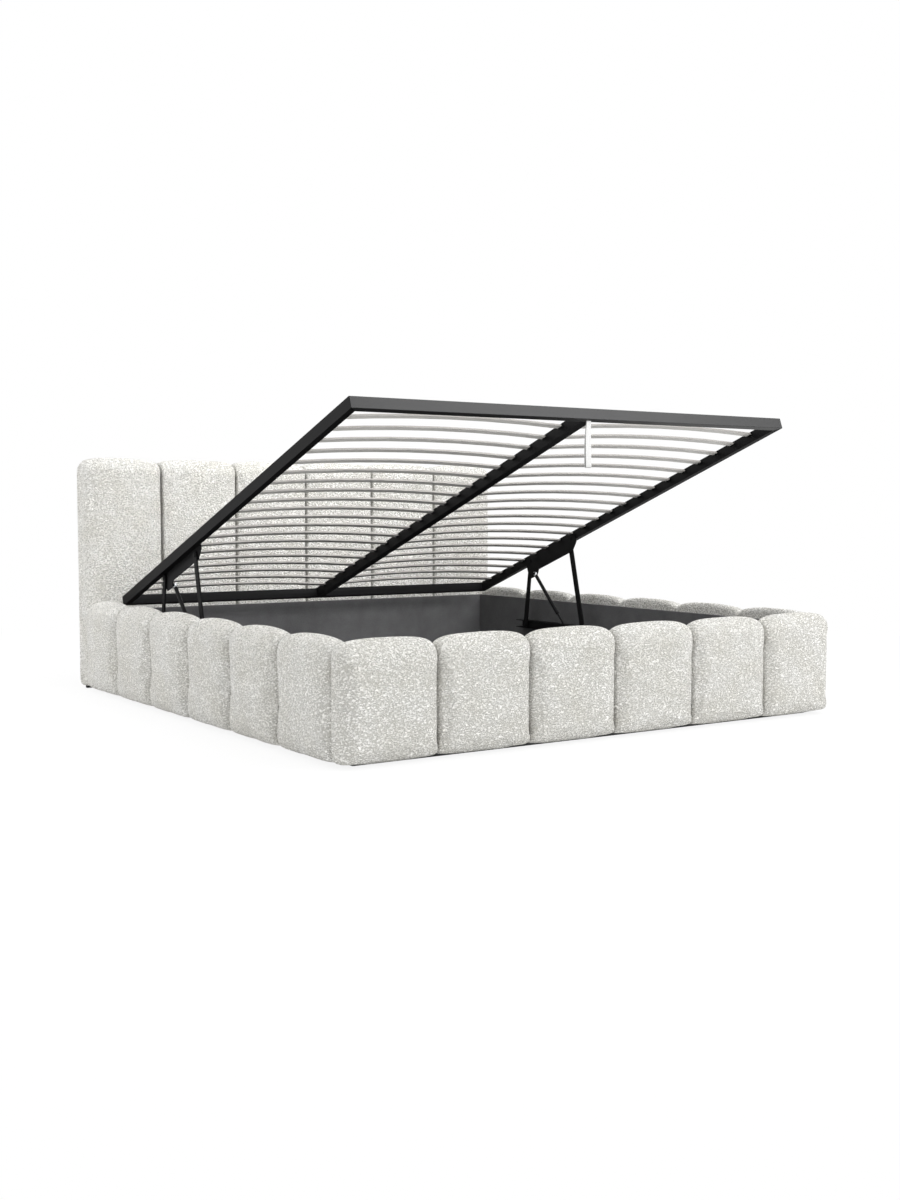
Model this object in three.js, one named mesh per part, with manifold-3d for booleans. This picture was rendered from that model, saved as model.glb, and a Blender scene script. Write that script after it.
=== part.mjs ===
import * as THREE from 'three';
import { mergeVertices } from 'three/addons/utils/BufferGeometryUtils.js';
import Module from 'manifold-3d';

// Upholstered storage bed with its sprung slat deck lifted. Millimetres, +Z up, foot end toward -Y,
// origin on the floor under the middle of the whole bed.

// Whole bed
const bedWidth = 2050;
const bedLength = 2230;
const headboardHeight = 963;
const fitGap = 0.3;

// Upholstery
const cushionBase = 12;
const channelCount = 6;
const lowCushionTop = 376;
const headboardDepth = 100;
const footCushionDepth = 71.7;
const sideCushionDepth = 76.7;
const channelStationShares = [0, 0.04, 0.13, 0.3, 0.5, 0.7, 0.87, 0.96];
const swellPower = 3.4;
const swellRoot = 2;
const edgeArcSteps = 4;
const crownArcSteps = 5;
const lowCushionEdges = { front: 46, back: 20, bottom: 26 };
const headboardEdges = { front: 44, back: 18, bottom: 20 };
const lowSeam = { inset: 20, drop: 32, lift: 6 };
const headboardSeam = { inset: 20, drop: 20, lift: 0 };
const footCorner = { inset: 46, drop: 36, lift: 10 };
const headboardEnd = { inset: 28, drop: 26, lift: 4 };
const bellyShare = 0.5;
const lowBelly = 3;
const headboardBelly = 0;

// Boards of the storage box
const boardThickness = 18;
const boardTop = 330;
const backPanelSideInset = 30;
const backPanelTopInset = 34;
const floorPanelThickness = 6;
const floorPanelGap = 2;
const floorBattenWidth = 60;
const floorBattenHeight = 15;
const floorBattenSideInset = 120;
const cornerBracketLeg = 40;
const cornerBracketThickness = 3;
const cornerBracketHeight = 100;
const cornerBracketBase = 50;

// Lifting deck, measured along the deck from its head end and up from its top face
const deckSideGap = 30;
const deckFootGap = 5.2;
const deckHeadGap = 16.5;
const railHeight = 38;
const railWidth = 25;
const centreRailWidth = 35;
const railWall = 1.5;
const deckTiltDegrees = 20.07;
const deckHeadZ = 385.9;
const deckTravel = 50.4;

// Slats and their holders
const slatRowCount = 20;
const firstSlatAlong = 105;
const lastSlatInset = 137.5;
const slatWidth = 23;
const slatThickness = 6;
const slatBow = 16;
const slatArcSteps = 6;
const holderProud = 3;
const holderDepth = 15;
const holderWall = 2;
const holderEndWall = 2.5;
const holderTop = -2;
const slatEndClearance = 1;

// Lift mechanism: pivots on the deck, then pivots and ends of the base toward the foot from the
// open deck's head end
const rearTopAlong = 415;
const rearTopUp = -48.4;
const frontTopAlong = 720.5;
const frontTopUp = -62.3;
const strutTopAlong = 458;
const strutTopUp = -96;
const basePivotZ = 216.3;
const rearBaseBack = 372.1;
const frontBaseBack = 784.1;
const strutFootBack = 692.8;
const strutFootZ = 216.5;

const armWidth = 26;
const rearArmTopWidth = 20;
const armThickness = 6;
const armPlateGap = 1.3;
const pivotRadius = 5;
const pivotPlay = 0.3;
const pivotHeadRadius = 8.5;
const pivotHeadThickness = 2.2;
const pivotHeadPlay = 0.6;
const pivotSegments = 16;
const openPivotClearance = 0.6;

const bracketThickness = 3;
const bracketTop = -14;
const bracketStart = 398;
const bracketEnd = 772;
const bracketTabLow = -104;
const bracketLow = -82;
const bracketTabEnd = 468;
const bracketTabSlope = 10;
const bracketTabChamfer = 14;
const bracketNoseRise = 30;
const bracketNoseRun = 38;
const bracketBoltRadius = 7;
const bracketBoltHead = 4;
const bracketBoltSides = 6;
const bracketBoltUp = -27;
const bracketBoltInset = 34;

const channelHeight = 35;
const channelWall = 3;
const channelRearBack = 284.8;
const channelFrontBack = 844.8;
const barArmGap = 6.2;
const barPlay = 0.5;
const barProud = 1.5;
const barWall = 2.5;
const barEndPast = 30;

const strutBodyRadius = 7.5;
const strutRodRadius = 4;
const strutRodPlay = 0.3;
const strutEyeRadius = 9;
const strutEyeThickness = 8;
const strutPinRadius = 4;
const strutPinHeadRadius = 6;
const strutSegments = 16;
const strutPlateGap = 1;
const strutBodyStart = 7;
const strutBodyEnd = 236;
const strutBoreStart = 62;
const strutRodInner = 132;
const strutFootHalfWidth = 16;
const strutFootRise = 12;
const strutFootThickness = 3;
const weldBite = 0.1;

// Pull strap
const strapWidth = 25;
const strapDrop = 155;
const strapDepth = 9;
const strapThickness = 2.2;
const strapArcSegments = 6;

// Colours
const boucle = { color: 0xe4e2dc, roughness: 0.95, metalness: 0 };
const darkBoard = { color: 0x3d3d3e, roughness: 0.7, metalness: 0 };
const floorBoard = { color: 0x343435, roughness: 0.75, metalness: 0 };
const rawWood = { color: 0xb8996b, roughness: 0.8, metalness: 0 };
const blackSteel = { color: 0x232324, roughness: 0.45, metalness: 0.3 };
const greySlat = { color: 0x9f9d98, roughness: 0.6, metalness: 0 };
const brightSteel = { color: 0xb9bbbd, roughness: 0.3, metalness: 0.9 };
const greyWebbing = { color: 0xc9c9c9, roughness: 0.9, metalness: 0 };

// Places worked out from the sizes above
const footY = -bedLength / 2;
const headY = bedLength / 2;
const boardOuter = bedWidth / 2 - sideCushionDepth - fitGap;
const boxHalf = boardOuter - boardThickness;
const footBoardY = footY + footCushionDepth + fitGap;
const boxFootY = footBoardY + boardThickness;
const headboardFrontY = headY - headboardDepth;
const boxHeadY = headboardFrontY - fitGap - boardThickness;
const sideCushionStart = footY + footCushionDepth + fitGap;
const sideCushionLength = headboardFrontY - fitGap - sideCushionStart;
const lowCushionHeight = lowCushionTop - cushionBase;
const headCushionHeight = headboardHeight - cushionBase;

const deckHalf = boxHalf - deckSideGap;
const deckWidth = deckHalf * 2;
const closedDeckHeadY = boxHeadY - deckHeadGap;
const deckHeadY = closedDeckHeadY - deckTravel;
const deckLength = closedDeckHeadY - boxFootY - deckFootGap;
const slatPitch = (deckLength - firstSlatAlong - lastSlatInset) / (slatRowCount - 1);
const railInner = deckHalf - railWidth;
const deckTilt = THREE.MathUtils.degToRad(deckTiltDegrees);
const railBottom = -railHeight;

const plateInner = railInner - fitGap - bracketThickness;
const plateOuter = railInner - fitGap;
const armInner = plateOuter + armPlateGap;
const armOuter = armInner + armThickness;
const strutX = plateInner - strutPlateGap * 2 - strutBodyRadius;
const channelOuter = boxHalf - fitGap;
const barInner = armOuter + barArmGap;
const channelInner = barInner + barProud;
const channelBottom = basePivotZ - channelHeight / 2;
const barOuter = channelOuter - channelWall - barPlay * 2;
const barHeight = channelHeight - channelWall * 2 - barPlay * 2;

const onDeck = (along, up) => new THREE.Vector2(
  deckHeadY - along * Math.cos(deckTilt) + up * Math.sin(deckTilt),
  deckHeadZ + along * Math.sin(deckTilt) + up * Math.cos(deckTilt),
);
const rearBaseY = deckHeadY - rearBaseBack;
const frontBaseY = deckHeadY - frontBaseBack;
const strutFootY = deckHeadY - strutFootBack;
const channelRearY = deckHeadY - channelRearBack;
const channelFrontY = deckHeadY - channelFrontBack;
const rearTop = onDeck(rearTopAlong, rearTopUp);
const frontTop = onDeck(frontTopAlong, frontTopUp);
const strutTop = onDeck(strutTopAlong, strutTopUp);
const rearBase = new THREE.Vector2(rearBaseY, basePivotZ);
const frontBase = new THREE.Vector2(frontBaseY, basePivotZ);
const strutFoot = new THREE.Vector2(strutFootY, strutFootZ);

const wasm = await Module();
wasm.setup();

function toSolid(geometry) {
  const plain = geometry.clone();
  plain.deleteAttribute('normal');
  plain.deleteAttribute('uv');
  const welded = mergeVertices(plain);
  return new wasm.Manifold(new wasm.Mesh({
    numProp: 3,
    vertProperties: new Float32Array(welded.attributes.position.array),
    triVerts: new Uint32Array(welded.index.array),
  }));
}

function toGeometry(solid) {
  const mesh = solid.getMesh();
  const geometry = new THREE.BufferGeometry();
  geometry.setAttribute('position', new THREE.BufferAttribute(new Float32Array(mesh.vertProperties), 3));
  geometry.setIndex(new THREE.BufferAttribute(new Uint32Array(mesh.triVerts), 1));
  geometry.computeVertexNormals();
  return geometry;
}

function joined(...geometries) {
  return toGeometry(geometries.map(toSolid).reduce((whole, piece) => whole.add(piece)));
}

function cut(geometry, tool) {
  return toGeometry(toSolid(geometry).subtract(toSolid(tool)));
}

function mirrored(geometry) {
  const flipped = mergeVertices(geometry.clone());
  flipped.scale(-1, 1, 1);
  const index = flipped.index.array;
  for (let corner = 0; corner < index.length; corner += 3) {
    [index[corner], index[corner + 1]] = [index[corner + 1], index[corner]];
  }
  flipped.computeVertexNormals();
  return flipped;
}

function block(x0, x1, y0, y1, z0, z1) {
  const geometry = new THREE.BoxGeometry(x1 - x0, y1 - y0, z1 - z0);
  geometry.translate((x0 + x1) / 2, (y0 + y1) / 2, (z0 + z1) / 2);
  return geometry;
}

// Turns a shape drawn flat into one standing in the plane across X: drawn right is +Y, up is +Z
function standing(geometry, x = 0) {
  const turn = new THREE.Matrix4().makeBasis(
    new THREE.Vector3(0, 1, 0),
    new THREE.Vector3(0, 0, 1),
    new THREE.Vector3(1, 0, 0),
  );
  geometry.applyMatrix4(turn);
  geometry.translate(x, 0, 0);
  return geometry;
}

function outline(points) {
  return new THREE.Shape(points.map(([across, up]) => new THREE.Vector2(across, up)));
}

function extruded(shape, depth, curveSegments = pivotSegments) {
  return new THREE.ExtrudeGeometry(shape, { depth, bevelEnabled: false, curveSegments });
}

function hole(across, up, radius) {
  const path = new THREE.Path();
  path.absarc(across, up, radius, 0, Math.PI * 2, true);
  return path;
}

// A pin along X from x0 to x1, at a place given across (Y) and up (Z)
function pin(radius, x0, x1, across = 0, up = 0, sides = pivotSegments) {
  const geometry = new THREE.CylinderGeometry(radius, radius, x1 - x0, sides);
  geometry.rotateZ(Math.PI / 2);
  geometry.translate((x0 + x1) / 2, across, up);
  return geometry;
}

// Padded channels: one closed section, drawn in at every seam and at both ends

function arcInto(points, centreAcross, centreUp, radius, from, steps) {
  for (let step = 0; step <= steps; step += 1) {
    const angle = from + (step / steps) * (Math.PI / 2);
    points.push([centreAcross + radius * Math.cos(angle), centreUp + radius * Math.sin(angle)]);
  }
}

function cushionSection(depth, height, edges, { inset, drop, lift }, belly) {
  const front = depth - inset;
  const top = height - drop;
  const thinning = front / depth;
  const frontEdge = edges.front * thinning;
  const backEdge = edges.back * thinning;
  const bottomEdge = edges.bottom * thinning;
  const points = [[0, lift]];
  arcInto(points, front - bottomEdge, lift + bottomEdge, bottomEdge, -Math.PI / 2, edgeArcSteps);
  points.push([front + belly, lift + (top - lift) * bellyShare]);
  arcInto(points, front - frontEdge, top - frontEdge, frontEdge, 0, crownArcSteps);
  arcInto(points, backEdge, top - backEdge, backEdge, Math.PI / 2, edgeArcSteps);
  return points;
}

function channelStations(length, firstSection, lastSection) {
  const stations = [];
  for (let channel = 0; channel < channelCount; channel += 1) {
    for (const share of channelStationShares) {
      const edge = Math.abs(2 * share - 1);
      const swell = Math.pow(1 - Math.pow(edge, swellPower), 1 / swellRoot);
      const inFirst = channel === 0 && share < bellyShare;
      const inLast = channel === channelCount - 1 && share > bellyShare;
      stations.push({
        place: ((channel + share) * length) / channelCount,
        swell,
        low: inFirst ? firstSection : inLast ? lastSection : 'seam',
      });
    }
  }
  stations.push({ place: length, swell: 0, low: lastSection });
  return stations;
}

// Runs the section along X from 0; its depth points to -Y and its height to +Z
function channelledCushion(sections, stations) {
  const steps = stations.length - 1;
  const shape = outline(sections.crown);
  const geometry = new THREE.ExtrudeGeometry(shape, { depth: steps, steps, bevelEnabled: false });
  const position = geometry.attributes.position;
  for (let corner = 0; corner < position.count; corner += 1) {
    const station = stations[Math.round(position.getZ(corner))];
    const across = position.getX(corner);
    const up = position.getY(corner);
    const spot = sections.crown.findIndex(([a, u]) => Math.hypot(a - across, u - up) < weldBite);
    const [lowAcross, lowUp] = sections[station.low][spot];
    position.setXYZ(
      corner,
      station.place,
      -THREE.MathUtils.lerp(lowAcross, across, station.swell),
      THREE.MathUtils.lerp(lowUp, up, station.swell),
    );
  }
  return outward(geometry);
}

// Puts the faces the right way round when the section was laid out mirrored
function outward(geometry) {
  const welded = mergeVertices(plainCopy(geometry));
  const index = welded.index.array;
  const point = new THREE.Vector3();
  const corners = [new THREE.Vector3(), new THREE.Vector3(), new THREE.Vector3()];
  let volume = 0;
  for (let start = 0; start < index.length; start += 3) {
    corners.forEach((corner, step) => corner.fromBufferAttribute(welded.attributes.position, index[start + step]));
    volume += corners[0].dot(point.crossVectors(corners[1], corners[2]));
  }
  if (volume < 0) {
    for (let start = 0; start < index.length; start += 3) {
      [index[start], index[start + 1]] = [index[start + 1], index[start]];
    }
  }
  welded.computeVertexNormals();
  return welded;
}

function plainCopy(geometry) {
  const plain = geometry.clone();
  plain.deleteAttribute('normal');
  plain.deleteAttribute('uv');
  return plain;
}

const flush = { inset: 0, drop: 0, lift: 0 };

function lowSections(depth, corner) {
  const section = (change, belly) => (
    cushionSection(depth, lowCushionHeight, lowCushionEdges, change, belly)
  );
  return { crown: section(flush, lowBelly), seam: section(lowSeam, 0), corner: section(corner, 0) };
}

function footboardCushion() {
  const geometry = channelledCushion(
    lowSections(footCushionDepth - lowBelly, footCorner),
    channelStations(bedWidth, 'corner', 'corner'),
  );
  geometry.translate(-bedWidth / 2, footY + footCushionDepth, cushionBase);
  return geometry;
}

function sideCushion() {
  const geometry = channelledCushion(
    lowSections(sideCushionDepth - lowBelly, lowSeam),
    channelStations(sideCushionLength, 'seam', 'seam'),
  );
  geometry.rotateZ(Math.PI / 2);
  geometry.translate(boardOuter + fitGap, sideCushionStart, cushionBase);
  return geometry;
}

function headboardCushion() {
  const section = (change) => (
    cushionSection(headboardDepth, headCushionHeight, headboardEdges, change, headboardBelly)
  );
  const sections = { crown: section(flush), seam: section(headboardSeam), corner: section(headboardEnd) };
  const geometry = channelledCushion(sections, channelStations(bedWidth, 'corner', 'corner'));
  geometry.translate(-bedWidth / 2, headY, cushionBase);
  const half = bedWidth / 2 - backPanelSideInset;
  const recess = block(
    -half, half,
    headY - boardThickness - fitGap, headY + headboardDepth,
    -cushionBase, headboardHeight - backPanelTopInset,
  );
  return cut(geometry, recess);
}

function headboardBackPanel() {
  const half = bedWidth / 2 - backPanelSideInset - fitGap;
  return block(
    -half, half,
    headY - boardThickness, headY,
    0, headboardHeight - backPanelTopInset - fitGap,
  );
}

// Lifting deck

const rowAlong = (row) => firstSlatAlong + row * slatPitch;

function atEachRow(shape) {
  return Array.from({ length: slatRowCount }, (_, row) => shape().translate(0, -rowAlong(row), 0));
}

function ring(width, height, wall) {
  const shape = outline([[0, 0], [width, 0], [width, height], [0, height]]);
  const inner = outline([
    [wall, wall], [width - wall, wall], [width - wall, height - wall], [wall, height - wall],
  ]);
  shape.holes.push(inner);
  return shape;
}

// A square tube along X whose ends are cut back toward its +Y side by the mitre share
function tube(length, width, height, wall, mitreShare) {
  const geometry = extruded(ring(width, height, wall), 1);
  const position = geometry.attributes.position;
  for (let corner = 0; corner < position.count; corner += 1) {
    const across = position.getX(corner);
    const up = position.getY(corner);
    const side = position.getZ(corner) > 0 ? 1 : -1;
    position.setXYZ(corner, side * (length / 2 - across * mitreShare), across, up);
  }
  return outward(geometry);
}

// The mitred ends stand half a gap off the corner's diagonal
const mitreBack = fitGap / 2;

function footRail() {
  const geometry = tube(deckWidth - mitreBack * 2, railWidth, railHeight, railWall, 1);
  geometry.translate(0, -deckLength, railBottom);
  return geometry;
}

function headRail() {
  const geometry = tube(deckWidth - mitreBack * 2, railWidth, railHeight, railWall, 1);
  geometry.rotateZ(Math.PI);
  geometry.translate(0, 0, railBottom);
  return geometry;
}

function sideRail() {
  const geometry = tube(deckLength - mitreBack * 2, railWidth, railHeight, railWall, 1);
  geometry.rotateZ(Math.PI / 2);
  geometry.translate(deckHalf, -deckLength / 2, railBottom);
  return cut(joined(geometry, ...atEachRow(slatSocket)), joined(...atEachRow(socketMouth)));
}

function centreRail() {
  const length = deckLength - (railWidth + fitGap) * 2;
  const geometry = tube(length, centreRailWidth, railHeight, railWall, 0);
  geometry.rotateZ(Math.PI / 2);
  geometry.translate(centreRailWidth / 2, -deckLength / 2, railBottom);
  return cut(geometry, joined(...atEachRow(holderSlot)));
}

const holderWidth = slatWidth + holderWall * 2;
const holderHeight = slatThickness + holderWall * 2;
const slatTo = railInner + holderDepth - holderEndWall - slatEndClearance;

// Moulded socket let into a side rail, and its mouth, open toward the middle of the deck
function slatSocket() {
  return block(
    railInner - holderProud, railInner + holderDepth,
    -holderWidth / 2, holderWidth / 2, holderTop - holderHeight, holderTop,
  );
}

function socketMouth() {
  return block(
    railInner - holderProud - holderWall, railInner + holderDepth - holderEndWall,
    -slatWidth / 2 - fitGap, slatWidth / 2 + fitGap,
    holderTop - holderWall - slatThickness - fitGap, holderTop - holderWall + fitGap,
  );
}

// Slot through the centre rail, and the twin holder that sits in it and grips a row's two slats
const twinReach = centreRailWidth / 2 + holderProud;

function holderSlot() {
  return block(
    -twinReach, twinReach, -holderWidth / 2 - fitGap, holderWidth / 2 + fitGap,
    holderTop - holderHeight - fitGap, holderTop + fitGap,
  );
}

function twinHolder() {
  return block(-twinReach, twinReach, -holderWidth / 2, holderWidth / 2, holderTop - holderHeight, holderTop);
}

// One bowed slat of the right-hand field, its rise set by an arc between the holder mouths
function slat() {
  const arcFrom = twinReach;
  const arcTo = railInner - holderProud;
  const half = (arcTo - arcFrom) / 2;
  const radius = (half * half + slatBow * slatBow) / (2 * slatBow);
  const line = [[centreRailWidth / 2, 0]];
  for (let step = 0; step <= slatArcSteps; step += 1) {
    const across = -half + (2 * half * step) / slatArcSteps;
    const rise = Math.sqrt(radius * radius - across * across) - (radius - slatBow);
    line.push([arcFrom + half + across, rise]);
  }
  line.push([slatTo, 0]);
  const under = line.map(([across, rise]) => [across, rise - slatThickness]).reverse();
  const geometry = extruded(outline([...line, ...under]), slatWidth);
  geometry.rotateX(Math.PI / 2);
  geometry.translate(0, slatWidth / 2, holderTop - holderWall);
  return geometry;
}

function slatRow() {
  const right = slat();
  return joined(twinHolder(), right, mirrored(right));
}

// Lift mechanism, right-hand pieces; the left-hand ones are their mirror images

function armOutline(length, topWidth, holes) {
  const half = armWidth / 2;
  const topHalf = topWidth / 2;
  const shape = new THREE.Shape();
  shape.moveTo(0, -half);
  shape.lineTo(length, -topHalf);
  shape.absarc(length, 0, topHalf, -Math.PI / 2, Math.PI / 2, false);
  shape.lineTo(0, half);
  shape.absarc(0, 0, half, Math.PI / 2, Math.PI * 1.5, false);
  holes.forEach((along) => shape.holes.push(hole(along, 0, pivotRadius + pivotPlay)));
  return shape;
}

function rearArm() {
  const length = rearTop.distanceTo(rearBase);
  const shape = armOutline(length, rearArmTopWidth, [0, length]);
  return standing(extruded(shape, armThickness, pivotSegments / 2), armInner);
}

function frontArm() {
  const length = frontTop.distanceTo(frontBase);
  const shape = armOutline(length, armWidth, [0]);
  const bar = standing(extruded(shape, armThickness, pivotSegments / 2), armInner);
  const stud = pin(pivotRadius, plateOuter + openPivotClearance, armOuter + pivotHeadPlay, length);
  const head = pin(
    pivotHeadRadius, armOuter - weldBite, armOuter + pivotHeadPlay + pivotHeadThickness, length,
  );
  return joined(bar, stud, head);
}

function headedPin(radius, headRadius, from, to, across, up, headTowardPlus) {
  const headFrom = headTowardPlus ? to - weldBite : to - pivotHeadThickness;
  const headTo = headTowardPlus ? to + pivotHeadThickness : to + weldBite;
  return [
    pin(radius, Math.min(from, to), Math.max(from, to), across, up),
    pin(headRadius, headFrom, headTo, across, up),
  ];
}

function liftBracket() {
  const plate = outline([
    [-bracketStart, bracketTop],
    [-bracketStart, bracketTabLow + bracketTabChamfer],
    [-bracketStart - bracketTabChamfer, bracketTabLow],
    [-bracketTabEnd + bracketTabSlope, bracketTabLow],
    [-bracketTabEnd, bracketTabLow + bracketTabSlope],
    [-bracketTabEnd - bracketTabSlope, bracketLow],
    [-bracketEnd + bracketNoseRun, bracketLow],
    [-bracketEnd, bracketLow + bracketNoseRise],
    [-bracketEnd, bracketTop],
  ]);
  const body = standing(extruded(plate, bracketThickness), plateInner);
  const rearPin = headedPin(
    pivotRadius, pivotHeadRadius, plateOuter - weldBite, armOuter + pivotHeadPlay,
    -rearTopAlong, rearTopUp, true,
  );
  const strutPinEnd = strutX - strutEyeThickness / 2 - pivotHeadPlay;
  const strutPin = headedPin(
    strutPinRadius, strutPinHeadRadius, plateInner + weldBite, strutPinEnd,
    -strutTopAlong, strutTopUp, false,
  );
  const bolts = [bracketStart + bracketBoltInset, bracketEnd - bracketBoltInset].map((along) => pin(
    bracketBoltRadius, plateInner - bracketBoltHead, plateInner + weldBite,
    -along, bracketBoltUp, bracketBoltSides,
  ));
  return joined(body, ...rearPin, ...strutPin, ...bolts);
}

function baseChannel() {
  const bottom = channelBottom;
  const top = channelBottom + channelHeight;
  const back = block(channelOuter - channelWall, channelOuter, channelFrontY, channelRearY, bottom, top);
  const lower = block(
    channelInner, channelOuter, channelFrontY, channelRearY, bottom, bottom + channelWall,
  );
  const upper = block(channelInner, channelOuter, channelFrontY, channelRearY, top - channelWall, top);
  const footLow = bottom - strutFootThickness;
  const footY0 = strutFootY - strutFootHalfWidth;
  const footY1 = strutFootY + strutFootHalfWidth;
  const footInner = strutX + strutEyeThickness / 2 + strutPlateGap;
  const shelf = block(footInner, channelOuter - channelWall, footY0, footY1, footLow, bottom + weldBite);
  const upright = block(
    footInner, footInner + strutFootThickness, footY0, footY1, footLow, strutFootZ + strutFootRise,
  );
  return joined(back, lower, upper, shelf, upright);
}

function baseBar() {
  const width = barOuter - barInner;
  const length = rearBaseY - frontBaseY + barEndPast * 2;
  const bar = tube(length, width, barHeight, barWall, 0);
  bar.rotateZ(Math.PI / 2);
  bar.translate(barOuter, (rearBaseY + frontBaseY) / 2, basePivotZ - barHeight / 2);
  const pins = [rearBaseY, frontBaseY].flatMap((y) => headedPin(
    pivotRadius, pivotHeadRadius, barInner + weldBite, armInner - pivotHeadPlay, y, basePivotZ, false,
  ));
  return joined(bar, ...pins);
}

// Struts point down +Y from their top eye before they are turned into place
const strutLength = strutTop.distanceTo(strutFoot);

function strutEye(along, withHole) {
  const shape = new THREE.Shape();
  shape.absarc(along, 0, strutEyeRadius, 0, Math.PI * 2, false);
  if (withHole) {
    shape.holes.push(hole(along, 0, strutPinRadius + pivotPlay));
  }
  return standing(extruded(shape, strutEyeThickness), -strutEyeThickness / 2);
}

function strutCylinder() {
  const bore = strutRodRadius + strutRodPlay;
  const body = new THREE.LatheGeometry([
    new THREE.Vector2(0, strutBodyStart),
    new THREE.Vector2(strutBodyRadius, strutBodyStart),
    new THREE.Vector2(strutBodyRadius, strutBodyEnd),
    new THREE.Vector2(bore, strutBodyEnd),
    new THREE.Vector2(bore, strutBoreStart),
    new THREE.Vector2(0, strutBoreStart),
  ], strutSegments);
  const hollow = pin(strutPinRadius + pivotPlay, -strutEyeRadius, strutEyeRadius);
  return cut(joined(outward(body), strutEye(0, false)), hollow);
}

function strutRod() {
  const length = strutLength - strutRodInner - strutBodyStart;
  const rod = new THREE.CylinderGeometry(strutRodRadius, strutRodRadius, length, strutSegments);
  rod.translate(0, strutRodInner + length / 2, 0);
  return joined(rod, strutEye(strutLength, false));
}

// Pull strap: a flat closed loop of webbing hanging from the foot rail, its top at the origin
function pullStrap() {
  const loop = (depth, top, bottom) => {
    const radius = depth / 2;
    const shape = new THREE.Shape();
    shape.moveTo(radius, bottom + radius);
    shape.lineTo(radius, top - radius);
    shape.absarc(0, top - radius, radius, 0, Math.PI, false);
    shape.lineTo(-radius, bottom + radius);
    shape.absarc(0, bottom + radius, radius, Math.PI, Math.PI * 2, false);
    return shape;
  };
  const shape = loop(strapDepth, 0, -strapDrop);
  shape.holes.push(loop(
    strapDepth - strapThickness * 2, -strapThickness, strapThickness - strapDrop,
  ));
  return standing(extruded(shape, strapWidth, strapArcSegments), -strapWidth / 2);
}

// Storage box

function cornerBracket() {
  const leg = cornerBracketLeg;
  const thick = cornerBracketThickness;
  const shape = outline([[0, 0], [leg, 0], [leg, thick], [thick, thick], [thick, leg], [0, leg]]);
  return extruded(shape, cornerBracketHeight);
}

function floorBatten() {
  return block(
    -floorBattenWidth / 2, floorBattenWidth / 2,
    boxFootY + cornerBracketLeg, boxHeadY - cornerBracketLeg,
    0, floorBattenHeight,
  );
}

function floorPanel() {
  const low = floorBattenHeight + fitGap;
  return block(
    floorPanelGap / 2, boxHalf - fitGap,
    boxFootY + fitGap, boxHeadY - fitGap,
    low, low + floorPanelThickness,
  );
}

// Assembly

const group = new THREE.Group();
group.name = 'upholstered_bed';

const deck = new THREE.Group();
deck.name = 'lifting_deck';
deck.position.set(0, deckHeadY, deckHeadZ);
deck.rotation.x = -deckTilt;
group.add(deck);

function add(parent, name, geometry, look) {
  const mesh = new THREE.Mesh(geometry, new THREE.MeshStandardMaterial(look));
  mesh.name = name;
  parent.add(mesh);
  return mesh;
}

function addPair(parent, name, geometry, look, place = () => {}) {
  place(add(parent, `${name}_right`, geometry, look));
  place(add(parent, `${name}_left`, mirrored(geometry), look));
}

add(group, 'headboard_cushion', headboardCushion(), boucle);
add(group, 'footboard_cushion', footboardCushion(), boucle);
addPair(group, 'side_cushion', sideCushion(), boucle);
add(group, 'headboard_back_panel', headboardBackPanel(), boucle);
add(group, 'head_panel', block(
  -boxHalf + fitGap, boxHalf - fitGap, boxHeadY, boxHeadY + boardThickness, 0, boardTop,
), darkBoard);
add(group, 'footboard_board', block(
  -boardOuter, boardOuter, footBoardY, boxFootY, 0, boardTop,
), darkBoard);
addPair(group, 'side_board', block(
  boxHalf, boardOuter, boxFootY + fitGap, headboardFrontY - fitGap, 0, boardTop,
), darkBoard);
addPair(group, 'storage_floor', floorPanel(), floorBoard);
const battenOffset = boxHalf - floorBattenSideInset;
add(group, 'floor_batten_middle', floorBatten(), rawWood);
add(group, 'floor_batten_right', floorBatten(), rawWood).position.x = battenOffset;
add(group, 'floor_batten_left', floorBatten(), rawWood).position.x = -battenOffset;

function addCornerBracket(name, x, y, turn) {
  const mesh = add(group, name, cornerBracket(), blackSteel);
  mesh.position.set(x, y, cornerBracketBase);
  mesh.rotation.z = turn;
}
const bracketX = boxHalf - fitGap;
addCornerBracket('corner_bracket_foot_left', -bracketX, boxFootY + fitGap, 0);
addCornerBracket('corner_bracket_foot_right', bracketX, boxFootY + fitGap, Math.PI / 2);
addCornerBracket('corner_bracket_head_right', bracketX, boxHeadY - fitGap, Math.PI);
addCornerBracket('corner_bracket_head_left', -bracketX, boxHeadY - fitGap, -Math.PI / 2);

add(deck, 'deck_foot_rail', footRail(), blackSteel);
add(deck, 'deck_head_rail', headRail(), blackSteel);
addPair(deck, 'deck_side_rail', sideRail(), blackSteel);
add(deck, 'deck_centre_rail', centreRail(), blackSteel);

const row = slatRow();
for (let count = 0; count < slatRowCount; count += 1) {
  const name = `slat_row_${String(count + 1).padStart(2, '0')}`;
  add(deck, name, row, greySlat).position.y = -rowAlong(count);
}

addPair(deck, 'lift_bracket', liftBracket(), blackSteel);

const swing = (foot, top) => Math.atan2(top.y - foot.y, top.x - foot.x);
addPair(group, 'base_channel', baseChannel(), blackSteel);
addPair(group, 'sliding_base_bar', baseBar(), blackSteel);
addPair(group, 'rear_lift_arm', rearArm(), blackSteel, (mesh) => {
  mesh.position.set(0, rearBase.x, rearBase.y);
  mesh.rotation.x = swing(rearBase, rearTop);
});
addPair(group, 'front_lift_arm', frontArm(), blackSteel, (mesh) => {
  mesh.position.set(0, frontBase.x, frontBase.y);
  mesh.rotation.x = swing(frontBase, frontTop);
});

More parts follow.
